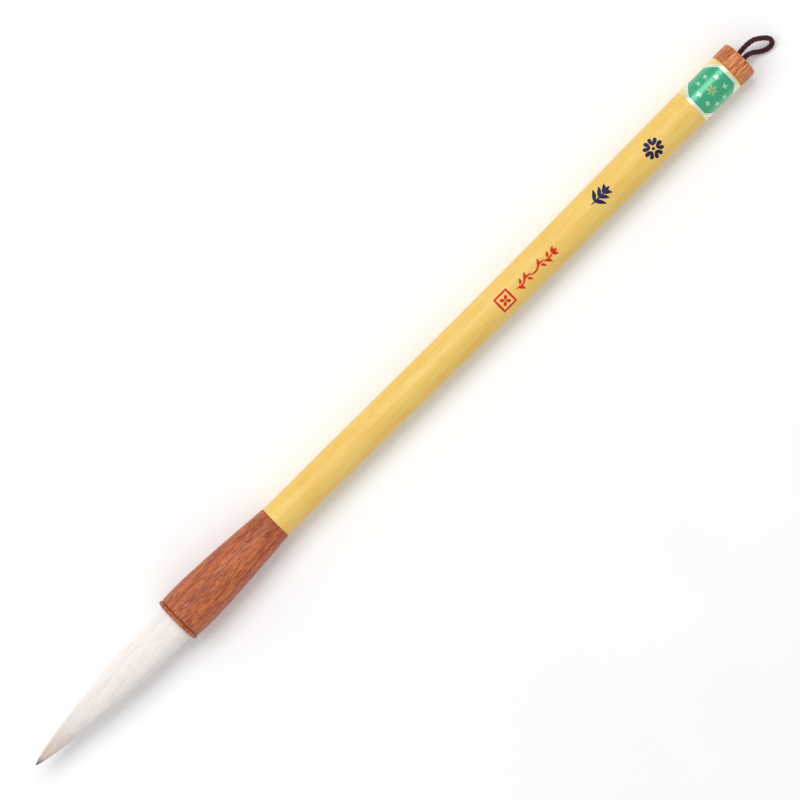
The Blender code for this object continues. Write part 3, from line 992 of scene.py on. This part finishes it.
def makePrint(name, draw, at, look):
    shape = bmesh.new()
    draw(shape, at)
    bmesh.ops.remove_doubles(shape, verts=shape.verts, dist=1e-7)
    bmesh.ops.recalc_face_normals(shape, faces=shape.faces)
    bmesh.ops.solidify(shape, geom=shape.faces[:], thickness=ink["film"])
    lowest = min(vert.co.z for vert in shape.verts)
    bmesh.ops.translate(shape, verts=shape.verts, vec=(0, 0, -lowest - ink["sunk"]))
    layOnShaft(shape)
    bmesh.ops.recalc_face_normals(shape, faces=shape.faces)
    piece = finish(meshOf(name, shape), look, 50)
    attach(piece, "handle")


navy = inkMaterial("navyInk", (0.003, 0.003, 0.055), (0.03, 0.025, 0.09))
red = inkMaterial("redInk", (0.60, 0.010, 0.004), (0.68, 0.09, 0.02))
makePrint("blossom_print", blossom, (0.2654, 0.0006), navy)
makePrint("sprig_print", sprig, (0.2434, -0.0009), navy)
makePrint("vine_print", vine, (0.2062, 0.0009), red)
makePrint("seal_print", seal, (0.2010, 0.0011), red)
print("printed ornaments done")


# Tuft: a coat of long hair over an inner column that comes out as the thin point

tuft = {
    # share of the length from tip to mouth, share of the radius
    "shape": ((0, 0.008), (0.012, 0.055), (0.04, 0.14), (0.13, 0.31), (0.3, 0.535), (0.5, 0.765),
              (0.68, 0.93), (0.83, 0.985), (1, 1)),
    "lean": 0.00075,  # of the tip, towards -y
    "coatShare": 0.3,  # how much of the radius the coat takes
    "coatStart": 0.006,
    "coatStations": 90,
    "inset": 0.00009,  # of the coat below the loose hairs
    "coatSteps": 192,
    "pointSteps": 128,
    "pointStart": 0.0002,
    "bareFrom": 0.0006,
    "columnFrom": 0.0002,  # beyond the coat's start
    "flutes": 0.00005,
    "fluteWaves": ((1, 40, 11), (0.6, 60, 26)),  # share of that depth, waves along and round
    "bendLength": 0.024,
}
hair = {
    "count": 1500,
    "width": 0.00011,
    "depth": (-0.00012, -0.00001),
    "rooted": 0.002,  # inside the mouth
    "longShare": 0.75,
    "longEnd": (0.001, 0.02),  # the nearest to the tip, and how far back from there
    "shortEnd": (0.015, 0.045),
    "pointCount": 260,
    "pointWidthShare": 0.7,
    "pointDepth": (-0.00006, 0.0),
    "pointStart": (0.010, 0.02),
    "pointEnd": 0.006,
    "drift": 0.05,
    "sway": 0.025,
    "rise": 0.00003,
    "thinnest": 0.000005,
    "tapersBy": 0.75,
}
stray = {"points": 14, "at": 0.0235, "length": 0.0024, "curl": 0.0006, "standOff": 0.00028, "sunk": 0.00004}
tuftWidth = radiusNear("cover_hair", mouth, 0.003)
tuftLine = smoothLine([(x * mouth, y * tuftWidth) for x, y in tuft["shape"]], 12)


def tuftRadius(along):
    return readLine(tuftLine, along)


def lean(co):
    share = max(0.0, 1 - co[0] / mouth)
    return Vector((co[0], co[1] - tuft["lean"] * share**2, co[2]))


def hairMaterial(name, loose):
    look, tree, shader = newMaterial(name, Sheen_Weight=0.06, Sheen_Roughness=0.4)
    place = restMillimetres(tree)
    along = add(tree, "SeparateXYZ", {0: place}).outputs[0]
    fine = fibresOf(tree, place, 0.035, 5.0)
    locks = fibresOf(tree, place, 0.03, 1.1)
    short = fibresOf(tree, place, 0.16, 2.6)
    tone = weighted(tree, (fine, 0.3), (locks, 0.25), (short, 0.45))
    white = ramp(tree, tone, [(0.2, (0.83, 0.775, 0.745)), (0.5, (0.905, 0.855, 0.825)),
                              (0.8, (0.95, 0.92, 0.90))])
    ragged = maths(tree, "MULTIPLY_ADD", minus(tree, locks, 0.5), 4.0, along)
    beige = mix(tree, between(tree, ragged, 3.0, 20.0, 0.85, 0.0), white, (0.70, 0.575, 0.505))
    darkTip = mix(tree, between(tree, along, 0.6, 3.4, 0.95, 0.0), beige, (0.16, 0.13, 0.13))
    rough = between(tree, fine, 0.0, 1.0, 0.42, 0.6)
    raised = bump(tree, fine, 0.00002 if loose else 0.00006)
    plug(tree, shader, {"Base Color": darkTip, "Roughness": rough, "Normal": raised})
    return look


def flute(shape, inner):
    # locks of hair draw together into shallow flutes, broad ones and narrow ones
    for vert in shape.verts:
        co = vert.co
        radius = hypot(co.y, co.z)
        if radius < 1e-7 or co.x > mouth + 0.004 or radius < inner(co.x):
            continue
        angle = atan2(co.z, co.y)
        waves = 0
        for number, (share, along, across) in enumerate(tuft["fluteWaves"]):
            spot = Vector((co.x * along + 9 * number, cos(angle) * across, sin(angle) * across))
            waves += share * noise.noise(spot)
        grow = 1 + tuft["flutes"] * waves / max(radius, 0.0012)
        co.y *= grow
        co.z *= grow


def strand(angle, start, end, depth, points=10):
    # one hair, lying near the tuft's surface and getting thinner to its end
    line = []
    drift = random.uniform(-hair["drift"], hair["drift"])
    sway = random.uniform(0, 6)
    for number in range(points):
        share = number / (points - 1)
        share = 1 - (1 - share) ** 1.15
        along = start + (end - start) * share
        turnBy = angle + drift * share + hair["sway"] * sin(sway + share * 5)
        radius = tuftRadius(max(along, 0)) if along < mouth else tuftWidth
        lie = depth + hair["rise"] * sin(sway * 2 + share * 7)
        radius = max(radius + lie, hair["thinnest"])
        co = lean((along, radius * cos(turnBy), radius * sin(turnBy)))
        line.append((co, 1 - hair["tapersBy"] * share**3))
    return line


def strayHair():
    # one short hair that has curled out of the coat
    line = []
    for number in range(stray["points"]):
        share = number / (stray["points"] - 1)
        arch = sin(pi * share)
        along = stray["at"] + stray["length"] * share - stray["curl"] * arch
        radius = tuftRadius(along) + stray["standOff"] * arch - stray["sunk"]
        turnBy = pi / 2 - 0.1 + 0.22 * arch
        line.append((lean((along, radius * cos(turnBy), radius * sin(turnBy))), 1.5 - 0.9 * share))
    return line


def coatLine():
    # the coat's outer outline: along the visible tuft, then down into the ferrule's socket
    root = {}
    for vert in frame["nodes"]["cover_hair"].data.vertices:
        co = toBrush @ vert.co
        if co.x > mouth + 0.001:
            along = round(co.x, 6)
            root[along] = max(root.get(along, 0), round(hypot(co.y, co.z) * cadFlats, 6))
    start, count = tuft["coatStart"], tuft["coatStations"]
    stations = [start + (mouth - start) * step / count for step in range(count + 1)]
    return [(along, tuftRadius(along) - tuft["inset"]) for along in stations] + sorted(root.items())


def makeCoat(outer, share):
    inner = [(along, radius * share) for along, radius in outer]
    shape = turn([*outer, *reversed(inner), outer[0]], tuft["coatSteps"])
    flute(shape, lambda along: tuftRadius(min(along, mouth)) * 0.85)
    for vert in shape.verts:
        vert.co = lean(vert.co)
    coatPiece = finish(meshOf("tuft_coat", shape), hairMaterial("whiteHair", False), 70)
    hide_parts("cover_hair")
    return coatPiece


def makePoint(outer, share):
    start = tuft["coatStart"]
    bare = [(along, radius - tuft["inset"] / 2) for along, radius in tuftLine
            if tuft["bareFrom"] < along < start - joinGap]
    column = [(along, radius * share - joinGap / 2) for along, radius in outer
              if along > start + tuft["columnFrom"]]
    outline = [(tuft["pointStart"], 0.0), *bare, *column, (span("cover_hair")[1], 0.0)]
    shape = turn(outline, tuft["pointSteps"])
    for vert in shape.verts:
        vert.co = lean(vert.co)
    pointPiece = finish(meshOf("tuft_point", shape), hairMaterial("pointHair", False), 70)
    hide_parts("core_hair")
    return pointPiece


def makeCoatHairs(look):
    lines = []
    for number in range(hair["count"]):
        angle = 2 * pi * (number + random.random()) / hair["count"]
        if random.random() < hair["longShare"]:
            nearest, further = hair["longEnd"]
            end = nearest + further * random.random() ** 1.6
        else:
            end = random.uniform(*hair["shortEnd"])
        depth = random.uniform(*hair["depth"])
        lines.append(strand(angle, mouth + hair["rooted"], end, depth))
    lines.append(strayHair())
    mesh = tubes("coat_hairs", lines, hair["width"], 4)
    return finish(mesh, look, 80)


def makePointHairs(look):
    lines = []
    for number in range(hair["pointCount"]):
        angle = 2 * pi * random.random()
        end = hair["pointEnd"] * random.random() ** 3
        depth = random.uniform(*hair["pointDepth"])
        lines.append(strand(angle, random.uniform(*hair["pointStart"]), end, depth, 8))
    mesh = tubes("point_hairs", lines, hair["width"] * hair["pointWidthShare"], 4)
    return finish(mesh, look, 80)


def makeTuft():
    outer, share = coatLine(), 1 - tuft["coatShare"]
    coatPiece = makeCoat(outer, share)
    pointPiece = makePoint(outer, share)
    looseLook = hairMaterial("looseHair", True)
    coatHairs = makeCoatHairs(looseLook)
    pointHairs = makePointHairs(looseLook)
    for piece in (coatPiece, pointPiece, coatHairs, pointHairs):
        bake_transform(piece)


makeTuft()
print("tuft done")


# Pieces inside: their CAD shapes stay, with their own materials

def threadMaterial():
    look, tree, shader = newMaterial("linenThread", Roughness=0.85, Sheen_Weight=0.2)
    place = millimetres(tree)
    twist = noiseOf(tree, scaled(tree, place, (4.0, 1.2, 1.2)), 1.6, 3.0, 0.6)
    colour = ramp(tree, twist, [(0.3, (0.38, 0.31, 0.2)), (0.5, (0.60, 0.53, 0.40)),
                                (0.7, (0.72, 0.66, 0.54))])
    plug(tree, shader, {"Base Color": colour, "Normal": bump(tree, twist, 0.00005)})
    return look


def glossMaterial(name, deep, pale, coat):
    look, tree, shader = newMaterial(name, Coat_Weight=coat, Coat_Roughness=0.12)
    place = millimetres(tree)
    clouds = useGroup(tree, softBlotches, {"Vector": place, "Size": 0.5})["Amount"]
    plug(tree, shader, {
        "Base Color": mix(tree, clouds, deep, pale),
        "Roughness": between(tree, clouds, 0.0, 1.0, 0.2, 0.4),
        "Normal": bump(tree, noiseOf(tree, place, 0.8, 2.0), 0.00008),
    })
    return look


def dressInside():
    looks = {
        "root_binding": threadMaterial(),
        "root_seal": glossMaterial("burntResin", (0.05, 0.018, 0.008), (0.16, 0.07, 0.03), 0.4),
        "tuft_glue": glossMaterial("amberGlue", (0.36, 0.22, 0.06), (0.56, 0.40, 0.15), 0.3),
        "cord_knot": cordMaterial("knottedCord", False),
    }
    for node, look in looks.items():
        mesh = frame["nodes"][node].data
        mesh.materials.clear()
        mesh.materials.append(look)


dressInside()
print("inner pieces done")
